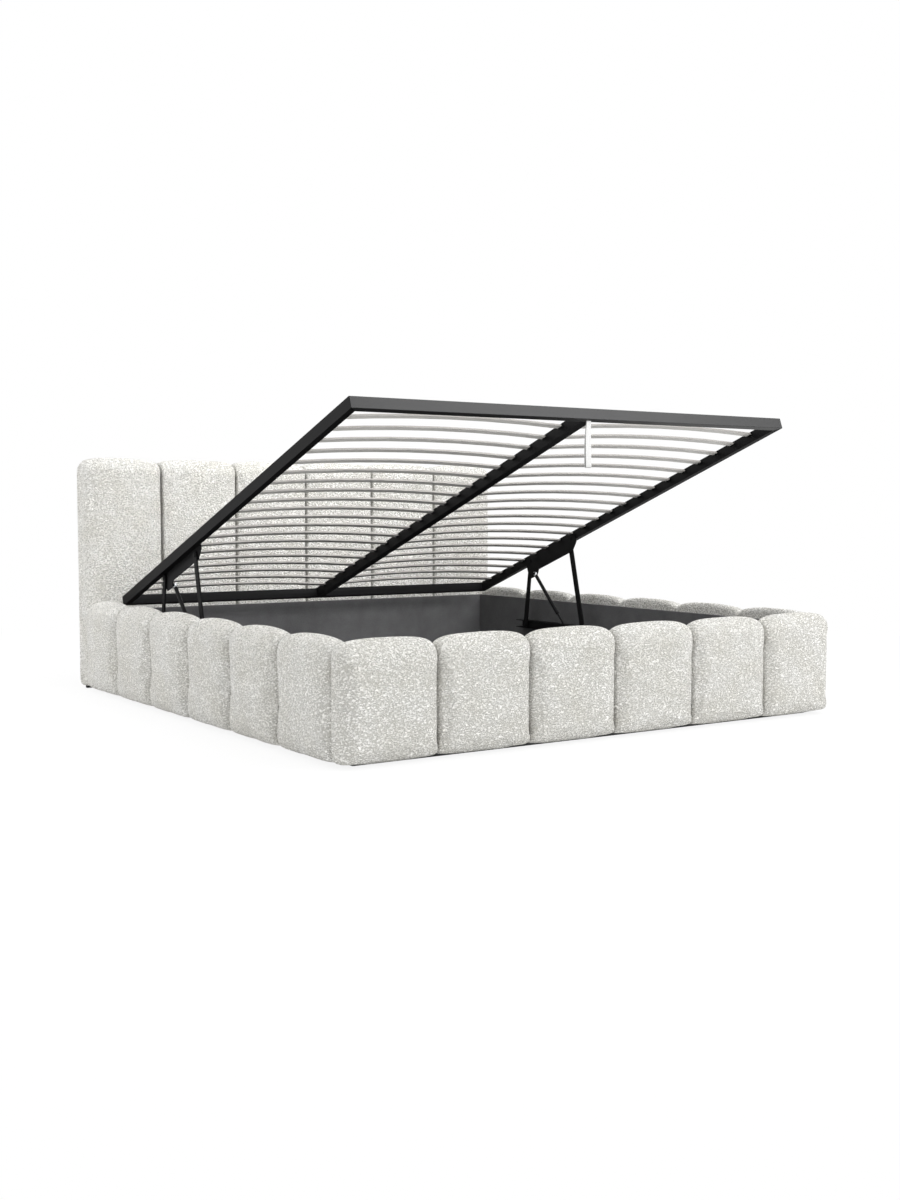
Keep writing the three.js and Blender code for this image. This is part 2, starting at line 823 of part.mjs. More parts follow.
function placeStrut(mesh) {
  mesh.position.set(0, strutTop.x, strutTop.y);
  mesh.rotation.x = swing(strutTop, strutFoot);
}
const cylinder = strutCylinder();
cylinder.translate(strutX, 0, 0);
addPair(group, 'gas_strut_cylinder', cylinder, blackSteel, placeStrut);
const rod = strutRod();
rod.translate(strutX, 0, 0);
addPair(group, 'gas_strut_rod', rod, brightSteel, placeStrut);

const strapHang = onDeck(deckLength - railWidth / 2, railBottom - strapDepth / 2 - fitGap);
add(group, 'pull_strap', pullStrap(), greyWebbing).position.set(
  0, strapHang.x, strapHang.y + strapDepth / 2,
);

export default group;
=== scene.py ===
import math

import bpy
from mathutils import Matrix, Vector, noise


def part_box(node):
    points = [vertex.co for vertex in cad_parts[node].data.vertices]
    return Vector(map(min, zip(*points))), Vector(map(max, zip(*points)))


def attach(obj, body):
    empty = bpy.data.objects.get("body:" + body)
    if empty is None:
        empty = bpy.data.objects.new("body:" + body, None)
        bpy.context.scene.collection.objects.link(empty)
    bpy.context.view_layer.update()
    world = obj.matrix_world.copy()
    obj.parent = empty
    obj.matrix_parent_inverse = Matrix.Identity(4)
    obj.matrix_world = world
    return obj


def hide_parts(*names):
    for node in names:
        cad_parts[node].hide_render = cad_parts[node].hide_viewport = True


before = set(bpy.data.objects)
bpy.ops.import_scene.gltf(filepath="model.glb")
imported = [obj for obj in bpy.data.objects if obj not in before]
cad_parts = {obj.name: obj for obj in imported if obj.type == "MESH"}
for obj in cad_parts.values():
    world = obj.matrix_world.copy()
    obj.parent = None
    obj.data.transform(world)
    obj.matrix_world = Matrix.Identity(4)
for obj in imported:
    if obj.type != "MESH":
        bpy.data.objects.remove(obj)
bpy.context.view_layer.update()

# Photograph's camera, fitted to the deck's corners, the slats and the pads
CAMERA_PLACE = (-2.897, -4.466, 0.739)
CAMERA_TURN = (86.255, 0, -33.765)
CAMERA_LENS = 41.19
CAMERA_FILM = 36

camera_data = bpy.data.cameras.new("camera")
camera_data.lens = CAMERA_LENS
camera_data.sensor_width = CAMERA_FILM
camera = bpy.data.objects.new("camera", camera_data)
camera.location = CAMERA_PLACE
camera.rotation_euler = [math.radians(angle) for angle in CAMERA_TURN]
bpy.context.scene.collection.objects.link(camera)
bpy.context.scene.camera = camera
bpy.context.scene.view_settings.view_transform = "Standard"


# Materials

def linear(hex_colour):
    channels = [int(hex_colour[i:i + 2], 16) / 255 for i in (1, 3, 5)]
    return [c / 12.92 if c <= 0.04045 else ((c + 0.055) / 1.055) ** 2.4 for c in channels] + [1]


def put(material, kind, settings=None, links=None):
    """Adds one node, with its settings by name or input, and what each input is linked from."""
    node = material.node_tree.nodes.new(kind)
    for name, value in (settings or {}).items():
        if isinstance(name, int) or name in node.inputs:
            node.inputs[name].default_value = value
        else:
            setattr(node, name, value)
    for name, source in (links or {}).items():
        material.node_tree.links.new(source, node.inputs[name])
    return node


def start_material(name):
    material = bpy.data.materials.new(name)
    material.use_nodes = True
    material.node_tree.nodes.clear()
    place = put(material, "ShaderNodeTexCoord").outputs["Object"]
    return material, place


def end_material(material, surface):
    put(material, "ShaderNodeOutputMaterial", links={"Surface": surface})
    return material


def ramp(material, value, stops):
    """A colour ramp. Each stop is a position and a hex colour or a plain level."""
    node = put(material, "ShaderNodeValToRGB", links={"Fac": value})
    elements = node.color_ramp.elements
    while len(elements) < len(stops):
        elements.new(0.5)
    for element, (position, colour) in zip(elements, stops):
        element.position = position
        element.color = linear(colour) if isinstance(colour, str) else (colour, colour, colour, 1)
    return node.outputs["Color"]


# Looped wool boucle: pale curls lying across the channels, with painted shade down between them,
# no shine but a soft bloom at grazing angles. Real curls are 3 to 4 mm wide. At 230 to the metre,
# stretched lengthwise, they are drawn about 7 mm long and 4 mm wide, so that they show.
CURL_STRETCH = (0.66, 0.66, 1.1)
CURL_DRIFT = (0.006, 0.006, 0.006)
CURL_RELIEF = 0.0042


def woven_boucle():
    material, place = start_material("wool_boucle")
    lying = put(material, "ShaderNodeMapping", {"Scale": CURL_STRETCH},
                {"Vector": place}).outputs["Vector"]
    drift = put(material, "ShaderNodeTexNoise", {"Scale": 110, "Detail": 1}, {"Vector": place})
    curled = put(material, "ShaderNodeVectorMath", {"operation": "MULTIPLY_ADD", 1: CURL_DRIFT},
                 {0: drift.outputs["Color"], 2: lying}).outputs["Vector"]
    loops = put(material, "ShaderNodeTexVoronoi",
                {"feature": "SMOOTH_F1", "Scale": 230, "Smoothness": 0.35},
                {"Vector": curled}).outputs["Distance"]
    worms = put(material, "ShaderNodeTexNoise", {"Scale": 220, "Detail": 2, "Distortion": 0.9},
                {"Vector": curled}).outputs["Fac"]
    nub = put(material, "ShaderNodeMath", {"operation": "MULTIPLY_ADD", 1: -0.7},
              {0: loops, 2: worms}).outputs[0]
    curl = ramp(material, nub, [(0.02, 0.0), (0.32, 1.0)])
    patch = put(material, "ShaderNodeTexNoise", {"Scale": 9, "Detail": 2},
                {"Vector": place}).outputs["Fac"]
    # The darkest stop is painted shade in the pits between the curls; the paler stops are the curls'
    # own colour.
    wool_with_pit_shade = ramp(material, curl, [(0.0, "#bbbab5"), (0.3, "#e7e6e1"), (1.0, "#fbfaf7")])
    tone = ramp(material, patch, [(0.3, "#f6f5f2"), (0.7, "#ffffff")])
    colour = put(material, "ShaderNodeMixRGB", {"blend_type": "MULTIPLY", "Fac": 1.0},
                 {"Color1": wool_with_pit_shade, "Color2": tone}).outputs["Color"]
    relief = put(material, "ShaderNodeBump", {"Strength": 1.0, "Distance": CURL_RELIEF},
                 {"Height": curl})
    surface = put(material, "ShaderNodeBsdfPrincipled",
                  {"Roughness": 1.0, "Specular IOR Level": 0.2,
                   "Sheen Weight": 0.12, "Sheen Roughness": 0.5},
                  {"Base Color": colour, "Normal": relief.outputs["Normal"]})
    return end_material(material, surface.outputs["BSDF"])


# Felt-backed lining on the boards, matt: fibre clumps of about 4 mm, drawn coarser than the fibres
# themselves so that they show, and cloudy over 7 cm
def lining_felt(name, dark, light):
    material, place = start_material(name)
    fibre = put(material, "ShaderNodeTexNoise", {"Scale": 260, "Detail": 4, "Roughness": 0.7},
                {"Vector": place})
    cloud = put(material, "ShaderNodeTexNoise", {"Scale": 14, "Detail": 3}, {"Vector": place})
    mottle = put(material, "ShaderNodeMixRGB", {"Fac": 0.35},
                 {"Color1": fibre.outputs["Fac"], "Color2": cloud.outputs["Fac"]}).outputs["Color"]
    colour = ramp(material, mottle, [(0.3, dark), (0.7, light)])
    relief = put(material, "ShaderNodeBump", {"Strength": 0.35, "Distance": 0.0006},
                 {"Height": fibre.outputs["Fac"]})
    surface = put(material, "ShaderNodeBsdfPrincipled",
                  {"Roughness": 0.82, "Specular IOR Level": 0.35},
                  {"Base Color": colour, "Normal": relief.outputs["Normal"]})
    return end_material(material, surface.outputs["BSDF"])


# Powder-coated steel, satin where its gloss is high and matt where it is low: an orange peel of
# 2.4 mm, and a haze that changes its roughness over 17 cm
def powder_coat(name, dark, light, roughness, gloss):
    material, place = start_material(name)
    peel = put(material, "ShaderNodeTexNoise", {"Scale": 420, "Detail": 2}, {"Vector": place})
    haze = put(material, "ShaderNodeTexNoise", {"Scale": 6, "Detail": 3}, {"Vector": place})
    colour = ramp(material, haze.outputs["Fac"], [(0.3, dark), (0.7, light)])
    worn = put(material, "ShaderNodeMapRange",
               {"To Min": roughness - 0.05, "To Max": roughness + 0.07},
               {"Value": haze.outputs["Fac"]}).outputs["Result"]
    relief = put(material, "ShaderNodeBump", {"Strength": 0.12, "Distance": 0.0004},
                 {"Height": peel.outputs["Fac"]})
    surface = put(material, "ShaderNodeBsdfPrincipled", {"Specular IOR Level": gloss},
                  {"Base Color": colour, "Roughness": worn, "Normal": relief.outputs["Normal"]})
    return end_material(material, surface.outputs["BSDF"])


# Bent beech laminate: grey foil on its faces with grain lines of about 4 mm, browner on the sawn
# edges, which face along the deck, and black on the moulded twin holder in the middle of the row
ALONG_DECK = (0, 0.939, 0.343)
SAWN_FACING = 0.7
HOLDER_HALF = 0.0207


def slat_laminate():
    material, place = start_material("grey_beech_laminate")
    along = put(material, "ShaderNodeMapping", {"Scale": (3, 160, 160)},
                {"Vector": place}).outputs["Vector"]
    grain = put(material, "ShaderNodeTexNoise", {"Scale": 1.6, "Detail": 4, "Roughness": 0.6},
                {"Vector": along})
    foil = ramp(material, grain.outputs["Fac"], [(0.3, "#bcbab6"), (0.7, "#cbc9c5")])
    edge = ramp(material, grain.outputs["Fac"], [(0.3, "#7d7a76"), (0.7, "#918e8a")])
    facing = put(material, "ShaderNodeTexCoord").outputs["Normal"]
    lean = put(material, "ShaderNodeVectorMath", {"operation": "DOT_PRODUCT", 1: ALONG_DECK},
               {0: facing}).outputs["Value"]
    sideways = put(material, "ShaderNodeMath", {"operation": "ABSOLUTE"}, {0: lean}).outputs[0]
    sawn = put(material, "ShaderNodeMath", {"operation": "GREATER_THAN", 1: SAWN_FACING},
               {0: sideways}).outputs[0]
    wood = put(material, "ShaderNodeMixRGB",
               links={"Fac": sawn, "Color1": foil, "Color2": edge}).outputs["Color"]
    across = put(material, "ShaderNodeSeparateXYZ", links={"Vector": place}).outputs["X"]
    side = put(material, "ShaderNodeMath", {"operation": "ABSOLUTE"}, {0: across}).outputs[0]
    holder = put(material, "ShaderNodeMath", {"operation": "LESS_THAN", 1: HOLDER_HALF},
                 {0: side}).outputs[0]
    colour = put(material, "ShaderNodeMixRGB", {"Color2": linear("#1b1b1c")},
                 {"Fac": holder, "Color1": wood}).outputs["Color"]
    relief = put(material, "ShaderNodeBump", {"Strength": 0.15, "Distance": 0.0003},
                 {"Height": grain.outputs["Fac"]})
    surface = put(material, "ShaderNodeBsdfPrincipled", {"Roughness": 0.5},
                  {"Base Color": colour, "Normal": relief.outputs["Normal"]})
    return end_material(material, surface.outputs["BSDF"])


# Gas strut: black enamel or nitrided steel, its gloss faintly clouded over 4 mm, and a bright
# zinc-plated eye at the pivot
EYE_RADIUS = 0.013
CYLINDER_EYE = (0, 0.4667, 0.4529)
ROD_EYE = (0, 0.2370, 0.2165)


def strut_finish(name, black, roughness, eye):
    material, place = start_material(name)
    streak = put(material, "ShaderNodeTexNoise", {"Scale": 240, "Detail": 2}, {"Vector": place})
    coat = ramp(material, streak.outputs["Fac"], [(0.3, black), (0.7, "#161617")])
    from_eye = put(material, "ShaderNodeVectorMath", {"operation": "SUBTRACT", 1: eye},
                   {0: place}).outputs["Vector"]
    flat = put(material, "ShaderNodeVectorMath", {"operation": "MULTIPLY", 1: (0, 1, 1)},
               {0: from_eye}).outputs["Vector"]
    away = put(material, "ShaderNodeVectorMath", {"operation": "LENGTH"},
               {0: flat}).outputs["Value"]
    bare = put(material, "ShaderNodeMath", {"operation": "LESS_THAN", 1: EYE_RADIUS},
               {0: away}).outputs[0]
    colour = put(material, "ShaderNodeMixRGB", {"Color2": linear("#c6c8ca")},
                 {"Fac": bare, "Color1": coat}).outputs["Color"]
    shine = put(material, "ShaderNodeMapRange", {"To Min": roughness, "To Max": roughness + 0.12},
                {"Value": streak.outputs["Fac"]}).outputs["Result"]
    surface = put(material, "ShaderNodeBsdfPrincipled", {"Specular IOR Level": 0.08},
                  {"Base Color": colour, "Metallic": bare, "Roughness": shine})
    return end_material(material, surface.outputs["BSDF"])


# Woven polypropylene webbing, pale grey and ribbed. Its ribs follow the strap's own UV map, every
# 3 mm along it, coarser than the real 1.6 mm so that they show.
def strap_webbing():
    material, _ = start_material("polypropylene_webbing")
    own = put(material, "ShaderNodeUVMap").outputs["UV"]
    weft = put(material, "ShaderNodeTexWave",
               {"bands_direction": "Y", "Scale": 32, "Distortion": 0.4}, {"Vector": own})
    warp = put(material, "ShaderNodeTexWave",
               {"bands_direction": "X", "Scale": 4, "Distortion": 0.3}, {"Vector": own})
    weave = put(material, "ShaderNodeMath", {"operation": "MULTIPLY"},
                {0: weft.outputs["Fac"], 1: warp.outputs["Fac"]}).outputs[0]
    colour = ramp(material, weave, [(0.0, "#b4b4b3"), (0.6, "#d6d6d5")])
    relief = put(material, "ShaderNodeBump", {"Strength": 0.5, "Distance": 0.0005},
                 {"Height": weave})
    surface = put(material, "ShaderNodeBsdfPrincipled", {"Roughness": 0.65},
                  {"Base Color": colour, "Normal": relief.outputs["Normal"]})
    return end_material(material, surface.outputs["BSDF"])


# Planed spruce: warm, soft grain lines of about 11 mm along Y
def planed_spruce():
    material, place = start_material("planed_spruce")
    along = put(material, "ShaderNodeMapping", {"Scale": (60, 2, 60)},
                {"Vector": place}).outputs["Vector"]
    grain = put(material, "ShaderNodeTexNoise", {"Scale": 1.5, "Detail": 4}, {"Vector": along})
    colour = ramp(material, grain.outputs["Fac"], [(0.3, "#a98a5c"), (0.7, "#c9ad7e")])
    surface = put(material, "ShaderNodeBsdfPrincipled", {"Roughness": 0.7},
                  {"Base Color": colour})
    return end_material(material, surface.outputs["BSDF"])


boucle = woven_boucle()
board_lining = lining_felt("charcoal_board_lining", "#4a4a4b", "#666667")
head_lining = lining_felt("grey_head_lining", "#555556", "#747475")
floor_lining = lining_felt("charcoal_floor_board", "#303031", "#444445")
back_lining = lining_felt("spunbond_back_cloth", "#2a2a2b", "#3c3c3d")
# The foot rail's coat is a lighter, glossier copy of the matt black coat on the rest of the steel:
# painted light for its lit front face.
lit_foot_rail_coat = powder_coat("black_powder_coat_lit_copy", "#141415", "#1a1a1b", 0.45, 0.4)
frame_coat = powder_coat("matt_black_powder_coat", "#0c0c0d", "#121213", 0.6, 0.1)
laminate = slat_laminate()
cylinder_enamel = strut_finish("black_enamel", "#0a0a0b", 0.35, CYLINDER_EYE)
nitrided_rod = strut_finish("nitrided_steel", "#111112", 0.28, ROD_EYE)
webbing = strap_webbing()
spruce = planed_spruce()


# Shaping

def deselect():
    bpy.ops.object.select_all(action="DESELECT")


def work_on(piece):
    deselect()
    piece.select_set(True)
    bpy.context.view_layer.objects.active = piece


def apply_modifier(piece, kind, **settings):
    work_on(piece)
    modifier = piece.modifiers.new(kind.lower(), kind)
    for name, value in settings.items():
        setattr(modifier, name, value)
    bpy.ops.object.modifier_apply(modifier=modifier.name)


def start_block(name, low, high):
    deselect()
    centre = [(a + b) / 2 for a, b in zip(low, high)]
    scale = [b - a for a, b in zip(low, high)]
    bpy.ops.mesh.primitive_cube_add(size=1, location=centre, scale=scale)
    piece = bpy.context.object
    bpy.ops.object.transform_apply(location=True, rotation=True, scale=True)
    piece.name = piece.data.name = name
    return piece


def round_edges(piece, wanted, radius, segments=5):
    """Bevels the edges whose middle passes the test."""
    work_on(piece)
    bpy.ops.object.mode_set(mode="EDIT")
    bpy.ops.mesh.select_mode(type="EDGE")
    bpy.ops.mesh.select_all(action="DESELECT")
    bpy.ops.object.mode_set(mode="OBJECT")
    points = piece.data.vertices
    for edge in piece.data.edges:
        a, b = (points[i].co for i in edge.vertices)
        edge.select = wanted((a + b) / 2)
    bpy.ops.object.mode_set(mode="EDIT")
    bpy.ops.mesh.bevel(offset=radius, segments=segments, clamp_overlap=False)
    bpy.ops.object.mode_set(mode="OBJECT")


def near(a, b):
    return abs(a - b) < 0.0002


def off_back(middle):
    return middle.y < -0.0005


# Stuffed channels. Each is made standing on the origin: X across, its back on y = 0, its front
# toward -Y. The block is rounded, drawn in toward its seams, and filled by pressure while the
# board holds its back. At the foot and head, channels press 2 to 3 mm into each other, so that only
# a thin seam shows. A seam draws the cover in by its inset at the front, down by its drop at the
# top and up by its lift at the bottom, over less of the channel's width the higher its power.
FOOT_SEAM = {"inset": 0.012, "drop": 0.034, "lift": 0.006, "power": 4.4}
FOOT_CORNER = {"inset": 0.020, "drop": 0.036, "lift": 0.008, "power": 4.0}
SIDE_SEAM = {"inset": 0.017, "drop": 0.027, "lift": 0.006, "power": 3.4}
HEAD_SEAM = {"inset": 0.003, "drop": 0.026, "lift": 0.002, "power": 4.2}
HEAD_END = {"inset": 0.018, "drop": 0.046, "lift": 0.003, "power": 4.2}
UNDER = 0.007  # how far a cover rolls under its channel, below the board's stuffing

# Room that the block leaves for its filling
FRONT_ROOM = 0.008
TOP_ROOM = 0.005
LOW_ROOM = 0.002
OUTER_ROOM = 0.006

# Radii of its edges, before filling
FRONT_EDGE = 0.044
LOW_EDGE = 0.024
BACK_EDGE = 0.018
OUTER_EDGE = 0.024

# How far filling may push it, and where its board stops it
SWELL = 0.008
TOP_SWELL = 0.002
BOARD_GAP = 0.0004
HELD_DEPTH = 0.004
FILLING_STEPS = 20

# Lumps in the filling, about 14 cm across with finer ones of 6 cm, fading out toward the board
LUMP = 0.0024
LUMP_START = 0.02
LUMP_FADE = 0.03


def stuffed_channel(name, size, voxel, seam, outer=None, recess=None, proud=0.004,
                    edge=0.005, press=0.002):
    """One channel, with another seam and a rounder edge on its left side if that is an outer one."""
    width, depth, height = size
    half = width / 2
    right, left = half + press, -half + OUTER_ROOM if outer else -half - press
    front, low, top = -depth + FRONT_ROOM - proud, LOW_ROOM - UNDER, height - TOP_ROOM
    pad = start_block(name, (left, front, low), (right, 0, top))
    round_edges(pad, lambda m: near(m.y, front) and near(m.z, top), FRONT_EDGE)
    round_edges(pad, lambda m: near(m.y, front) and near(m.z, low), LOW_EDGE)
    round_edges(pad, lambda m: near(m.y, 0) and near(m.z, top), BACK_EDGE)
    round_edges(pad, lambda m: near(m.x, right) and off_back(m), edge, 2)
    round_edges(pad, lambda m: near(m.x, left) and off_back(m),
                OUTER_EDGE if outer else edge, 5 if outer else 2)
    pad.data.remesh_voxel_size = voxel
    pad.data.remesh_voxel_adaptivity = 0
    work_on(pad)
    bpy.ops.object.voxel_remesh()
    for point in pad.data.vertices:
        draw = outer if outer and point.co.x < 0 else seam
        pull = 1 - (1 - min(1, abs(point.co.x) / half) ** draw["power"]) ** 0.5
        point.co.y *= 1 - pull * draw["inset"] / depth
        point.co.z *= 1 - pull * (draw["drop"] + draw["lift"]) / height
        point.co.z += pull * draw["lift"]
    apply_modifier(pad, "SMOOTH", factor=0.5, iterations=2)
    fill_with_pressure(pad)
    for point in pad.data.vertices:
        point.co.x = min(max(point.co.x, -half - (0 if outer else press)), half + press)
        point.co.y = min(max(point.co.y, -depth - proud), -BOARD_GAP)
        point.co.z = min(max(point.co.z, -UNDER), height + TOP_SWELL)
    apply_modifier(pad, "SUBSURF", levels=1, render_levels=1)
    if recess:
        tool = start_block("recess", *recess)
        apply_modifier(pad, "BOOLEAN", operation="DIFFERENCE", object=tool, solver="EXACT")
        bpy.data.objects.remove(tool)
    return pad


def fill_with_pressure(pad):
    """Blows the cover up against its held back, and keeps each point's push under the swell."""
    work_on(pad)
    held = pad.vertex_groups.new(name="held")
    held.add([p.index for p in pad.data.vertices if p.co.y > -HELD_DEPTH], 1.0, "REPLACE")
    start = [p.co.copy() for p in pad.data.vertices]
    cloth = pad.modifiers.new("cloth", "CLOTH")
    cloth.settings.quality = 6
    cloth.settings.mass = 0.4
    cloth.settings.tension_stiffness = cloth.settings.compression_stiffness = 12
    cloth.settings.bending_stiffness = 1.5
    cloth.settings.use_pressure = True
    cloth.settings.uniform_pressure_force = 4
    cloth.settings.effector_weights.gravity = 0
    cloth.settings.vertex_group_mass = "held"
    cloth.point_cache.frame_start, cloth.point_cache.frame_end = 1, FILLING_STEPS
    for step in range(1, FILLING_STEPS + 1):
        bpy.context.scene.frame_set(step)
    shaped = pad.evaluated_get(bpy.context.evaluated_depsgraph_get())
    filled = [p.co.copy() for p in shaped.data.vertices]
    pad.modifiers.remove(cloth)
    pad.vertex_groups.clear()
    bpy.context.scene.frame_set(1)
    for point, before, after in zip(pad.data.vertices, start, filled):
        push = after - before
        if push.length > 1e-7:
            point.co = before + push.normalized() * SWELL * math.tanh(push.length / SWELL)


def placed_channel(pattern, place, seed, mirror=False):
    """A copy of a channel in its place, with its own slight unevenness of filling."""
    pad = pattern.copy()
    pad.data = pattern.data.copy()
    bpy.context.scene.collection.objects.link(pad)
    if mirror:
        pad.data.transform(Matrix.Scale(-1, 4, (1, 0, 0)))
        pad.data.flip_normals()
    shift = Vector((seed * 3.1, seed * 1.7, seed * 2.3))
    for point in pad.data.vertices:
        if point.co.y < -LUMP_START:
            lump = noise.noise(point.co * 7 + shift) + 0.5 * noise.noise(point.co * 17 + shift)
            point.co.y += LUMP * lump * min(1, (-point.co.y - LUMP_START) / LUMP_FADE)
    pad.data.transform(place)
    return pad


def sewn_cushion(name, pads, node):
    deselect()
    for pad in pads:
        pad.select_set(True)
    bpy.context.view_layer.objects.active = pads[0]
    bpy.ops.object.join()
    cushion = bpy.context.object
    cushion.name = cushion.data.name = name
    cushion.data.materials.clear()
    cushion.data.materials.append(boucle)
    for face in cushion.data.polygons:
        face.use_smooth = True
    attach(cushion, "bed_base")
    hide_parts(node)
    return cushion


def box_size(node):
    low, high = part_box(node)
    return low, high, [b - a for a, b in zip(low, high)]


CHANNELS = 6
LOW_VOXEL = 0.010
HEAD_VOXEL = 0.012
SIDE_PROUD = 0.016  # the side channels stand fuller than the solid's few facets
foot_low, foot_high, foot_size = box_size("footboard_cushion")
side_low, side_high, side_size = box_size("side_cushion_right")
head_low, head_high, head_size = box_size("headboard_cushion")
panel_low, panel_high, _ = box_size("headboard_back_panel")

foot_width = foot_size[0] / CHANNELS
foot_channel = (foot_width, foot_size[1], foot_size[2])
foot_pad = stuffed_channel("foot_pad", foot_channel, LOW_VOXEL, FOOT_SEAM)
foot_corner = stuffed_channel("foot_corner", foot_channel, LOW_VOXEL, FOOT_SEAM, FOOT_CORNER)
pads = []
for i in range(CHANNELS):
    place = Matrix.Translation((foot_low[0] + (i + 0.5) * foot_width, foot_high[1], foot_low[2]))
    corner = i in (0, CHANNELS - 1)
    pads.append(placed_channel(foot_corner if corner else foot_pad, place, i + 1, corner and i > 0))
sewn_cushion("footboard_pads", pads, "footboard_cushion")

side_width = side_size[1] / CHANNELS
side_channel = (side_width, side_size[0], side_size[2])
side_pad = stuffed_channel("side_pad", side_channel, LOW_VOXEL, SIDE_SEAM, proud=SIDE_PROUD, press=0)
for hand, turn in (("left", -90), ("right", 90)):
    back = side_low[0] * (-1 if hand == "left" else 1)
    pads = []
    for i in range(CHANNELS):
        place = Matrix.Translation((back, side_low[1] + (i + 0.5) * side_width, side_low[2]))
        place = place @ Matrix.Rotation(math.radians(turn), 4, "Z")
        pads.append(placed_channel(side_pad, place, i + 101 + turn))
    cushion = sewn_cushion(f"side_pads_{hand}", pads, f"side_cushion_{hand}")
    for point in cushion.data.vertices:
        point.co.y = min(max(point.co.y, side_low[1]), side_high[1])

# The headboard's channels are cut away behind for the back panel, 0.3 mm clear of it
PANEL_GAP = 0.0003
HEAD_EDGE = 0.003
HEAD_PRESS = 0.003
RECESS_BACK = 0.02   # how far the cut runs out behind
RECESS_LOW = -0.02   # and below
head_width = head_size[0] / CHANNELS
head_channel = (head_width, head_size[1], head_size[2])
panel_front = panel_low[1] - head_high[1] - PANEL_GAP
panel_top = panel_high[2] - head_low[2] + PANEL_GAP
panel_edge = panel_low[0] - head_low[0] - head_width / 2 - PANEL_GAP
recess_far = (head_width, RECESS_BACK, panel_top)
head_pad = stuffed_channel("head_pad", head_channel, HEAD_VOXEL, HEAD_SEAM,
                           recess=((-head_width, panel_front, RECESS_LOW), recess_far),
                           edge=HEAD_EDGE, press=HEAD_PRESS)
head_end = stuffed_channel("head_end", head_channel, HEAD_VOXEL, HEAD_SEAM, HEAD_END,
                           recess=((panel_edge, panel_front, RECESS_LOW), recess_far),
                           edge=HEAD_EDGE, press=HEAD_PRESS)
pads = []
for i in range(CHANNELS):
    place = Matrix.Translation((head_low[0] + (i + 0.5) * head_width, head_high[1], head_low[2]))
    end = i in (0, CHANNELS - 1)
    pads.append(placed_channel(head_end if end else head_pad, place, i + 31, end and i > 0))
sewn_cushion("headboard_pads", pads, "headboard_cushion")

for pattern in (foot_pad, foot_corner, side_pad, head_pad, head_end):
    bpy.data.objects.remove(pattern)


# Pull strap: one length of webbing hung as a loop, gathered narrower where it is tacked to the rail
STRAP_THICKNESS = 0.0016
STRAP_EDGE = 0.0004
TACKED_HALF = 0.0085    # half its width where it is tacked
OPENED_HALF = 0.0030    # and how much that gains further down
TACK_GAP = 0.0006       # from the rail to the webbing's middle
LOOP_SPREAD = 0.0032    # half the gap between its two lengths
LOOP_BEND = 0.0040      # radius of its bottom turn
LOOP_LEAN = 0.0040      # how far it leans across by its bottom
LOOP_SWAY = 0.0022      # how far it bows along the bed
LOOP_CUP = 0.0010       # how far the tacked end cups
LOOP_ROOM = 0.0012      # left under it for the webbing's thickness

strap_low, strap_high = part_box("pull_strap")


def webbing_loop():
    deselect()
    bpy.ops.mesh.primitive_grid_add(x_subdivisions=6, y_subdivisions=72, size=1)
    loop = bpy.context.object
    loop.name = loop.data.name = "pull_strap_loop"
    middle_y = (strap_low[1] + strap_high[1]) / 2
    drop = strap_high[2] - strap_low[2] - LOOP_BEND - LOOP_ROOM
    run = drop + math.pi * LOOP_BEND / 2
    for point in loop.data.vertices:
        across, along = point.co.x, point.co.y * 2 * run
        side = 1 if along > 0 else -1
        down = run - abs(along)
        share = min(1, down / drop)
        half = TACKED_HALF + OPENED_HALF * min(1, share / 0.45) ** 0.7
        cup = LOOP_CUP * (1 - min(1, share / 0.5)) * math.cos(across * math.pi)
        if down <= drop:
            opened = 0.25 + 0.75 * math.sin(share * math.pi / 2)
            y = side * (LOOP_SPREAD * opened + (LOOP_BEND - LOOP_SPREAD) * share ** 3)
            z = strap_high[2] - TACK_GAP - down
        else:
            angle = (down - drop) / LOOP_BEND
            y = side * LOOP_BEND * math.cos(angle)
            z = strap_high[2] - TACK_GAP - drop - LOOP_BEND * math.sin(angle)
        sway = LOOP_SWAY * math.sin(share * math.pi * 1.3)
        point.co = (across * 2 * half - LOOP_LEAN * share, middle_y + y + cup + sway, z)
    apply_modifier(loop, "SOLIDIFY", thickness=STRAP_THICKNESS, offset=0)
    apply_modifier(loop, "BEVEL", width=STRAP_EDGE, segments=2)
    for face in loop.data.polygons:
        face.use_smooth = True
    loop.data.materials.append(webbing)
    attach(loop, "pull_strap")
    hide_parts("pull_strap")


webbing_loop()


# Finishes of the solid parts, by the start of a node's name. All other steel is matt.
finishes = {
    "head_panel": head_lining, "footboard_board": board_lining, "side_board": board_lining,
    "headboard_back_panel": back_lining, "storage_floor": floor_lining, "floor_batten": spruce,
    "slat_row": laminate, "gas_strut_cylinder": cylinder_enamel, "gas_strut_rod": nitrided_rod,
    # The foot rail carries the lighter, glossier copy of the black coat, as painted light.
    "deck_foot_rail": lit_foot_rail_coat,
}

# Boards, rails and arms whose edges are eased by 1 mm
EASE = 0.0010
EASED_ANGLE = 50
WELD_REACH = 0.00001
eased = ("deck_foot_rail", "deck_head_rail", "head_panel", "footboard_board", "side_board",
         "rear_lift_arm", "front_lift_arm")

for name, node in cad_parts.items():
    finish = next((finishes[start] for start in finishes if name.startswith(start)), frame_coat)
    for material_slot in node.material_slots:
        material_slot.material = finish
    if not node.material_slots:
        node.data.materials.append(finish)
    if name.startswith(eased):
        weld = node.modifiers.new("weld", "WELD")
        weld.merge_threshold = WELD_REACH
        ease = node.modifiers.new("eased_edges", "BEVEL")
        ease.width, ease.segments = EASE, 2
        ease.limit_method, ease.angle_limit = "ANGLE", math.radians(EASED_ANGLE)


# Floor, background and lights
FLOOR_SIZE = 40
SHADOW_SHARE = 0.12
SHADOW_FULL = 1.5  # distance from the middle up to which the shadow has its full share
SHADOW_GONE = 4.0  # and at which none of it is left


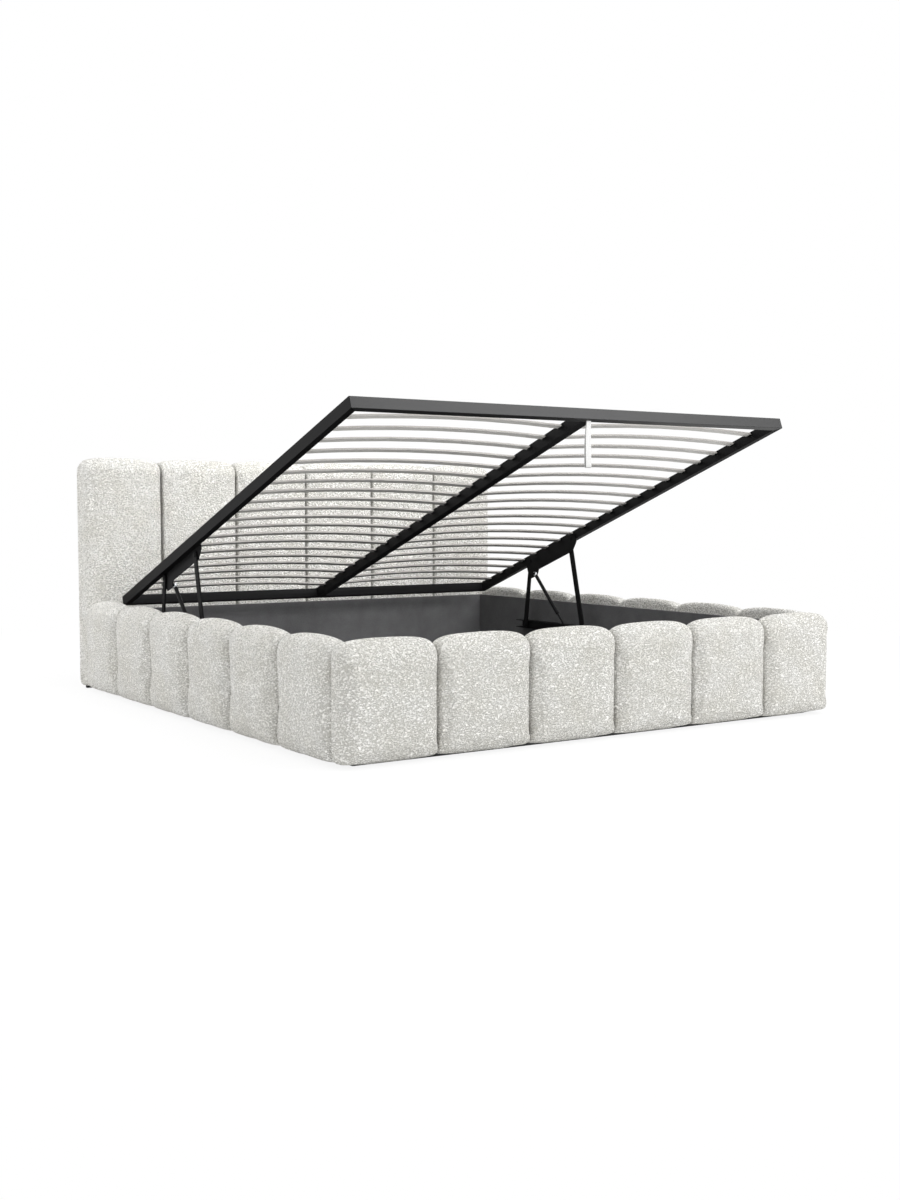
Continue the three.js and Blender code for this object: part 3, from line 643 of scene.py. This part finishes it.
def seen_or_mirrored(material):
    """1 where the camera or a glossy reflection looks, and 0 where light is gathered."""
    rays = put(material, "ShaderNodeLightPath")
    return put(material, "ShaderNodeMath", {"operation": "MAXIMUM"},
               {0: rays.outputs["Is Camera Ray"], 1: rays.outputs["Is Glossy Ray"]}).outputs[0]


def white_where_seen(name):
    """White to the camera and to reflections, with part of the object's shadow left in."""
    material, place = start_material(name)
    diffuse = put(material, "ShaderNodeBsdfDiffuse", {"Color": linear("#f2f2f2")})
    white = put(material, "ShaderNodeEmission", {"Strength": 1.0})
    seen = seen_or_mirrored(material)
    away = put(material, "ShaderNodeVectorMath", {"operation": "LENGTH"},
               {0: place}).outputs["Value"]
    pale = put(material, "ShaderNodeMapRange",
               {"From Min": SHADOW_FULL, "From Max": SHADOW_GONE,
                "To Min": 1 - SHADOW_SHARE, "To Max": 1.0}, {"Value": away}).outputs["Result"]
    share = put(material, "ShaderNodeMath", {"operation": "MULTIPLY"},
                {0: seen, 1: pale}).outputs[0]
    mix = put(material, "ShaderNodeMixShader",
              links={"Fac": share, 1: diffuse.outputs[0], 2: white.outputs[0]})
    return end_material(material, mix.outputs[0])


deselect()
bpy.ops.mesh.primitive_plane_add(size=FLOOR_SIZE, location=(0, 0, 0))
floor = bpy.context.object
floor.name = "floor"
floor.data.materials.append(white_where_seen("white_floor"))

world = bpy.data.worlds.new("studio")
bpy.context.scene.world = world
world.use_nodes = True
world.node_tree.nodes.clear()
ambient = put(world, "ShaderNodeBackground", {"Color": (1, 1, 1, 1), "Strength": 1.0})
white = put(world, "ShaderNodeBackground", {"Color": (1, 1, 1, 1), "Strength": 1.0})
both = put(world, "ShaderNodeMixShader",
           links={"Fac": seen_or_mirrored(world), 1: ambient.outputs[0], 2: white.outputs[0]})
put(world, "ShaderNodeOutputWorld", links={"Surface": both.outputs[0]})


def soft_light(name, place, aim, size, watts, spread=180):
    data = bpy.data.lights.new(name, "AREA")
    data.shape = "RECTANGLE"
    data.size, data.size_y = size
    data.energy = watts
    data.spread = math.radians(spread)
    lamp = bpy.data.objects.new(name, data)
    lamp.location = place
    lamp.rotation_euler = (Vector(aim) - Vector(place)).to_track_quat("-Z", "Y").to_euler()
    bpy.context.scene.collection.objects.link(lamp)


soft_light("key", (3.0, -4.2, 3.6), (0, -0.6, 0.3), (3.0, 3.0), 130)
soft_light("top", (0.4, -1.6, 5.0), (0, -0.9, 0), (4.0, 4.0), 74)
soft_light("head_wash", (0.2, -1.9, 2.4), (-0.1, 1.1, 0.6), (1.6, 1.2), 8, 50)
soft_light("side_fill", (-4.2, 3.2, 2.4), (-1.0, 0, 0.2), (2.0, 2.0), 64)
